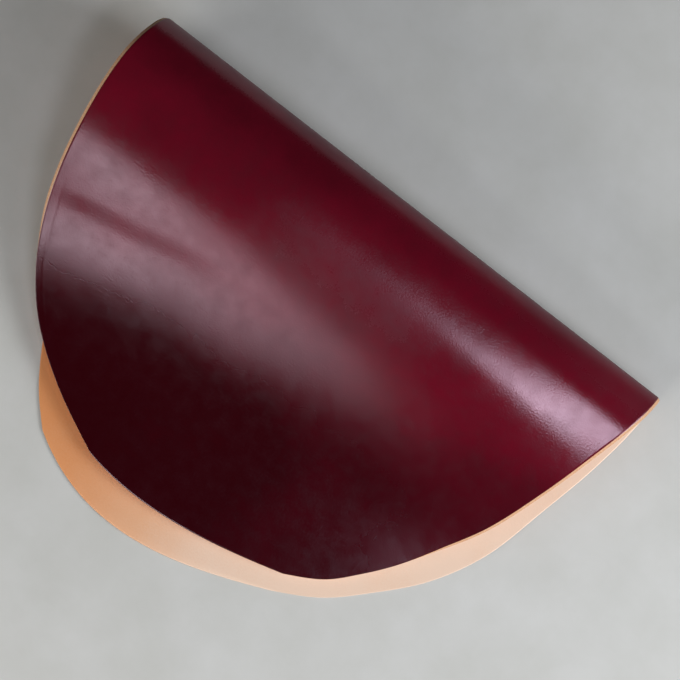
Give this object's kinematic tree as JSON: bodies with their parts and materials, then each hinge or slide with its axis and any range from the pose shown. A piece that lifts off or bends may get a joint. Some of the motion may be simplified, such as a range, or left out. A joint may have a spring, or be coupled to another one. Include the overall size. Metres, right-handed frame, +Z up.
{
  "type": "cordovan leather",
  "caption": "Oval piece of glazed burgundy cordovan leather with a tan flesh side, folded over once on a soft roll and lying on its lower half.",
  "frame": {"origin": "centre of the bounding box at the surface that the lower half lies on", "axes": "+X along the fold from its tall end to its low end, +Y towards the outside of the fold, +Z up"},
  "size_m": [0.424, 0.2996, 0.078],
  "materials": {
    "glazed_leather": "glazed burgundy grain face, natural tan flesh side and cut edge"
  },
  "bodies": {
    "root": {"folded_hide": "glazed_leather"}
  },
  "joints": []
}
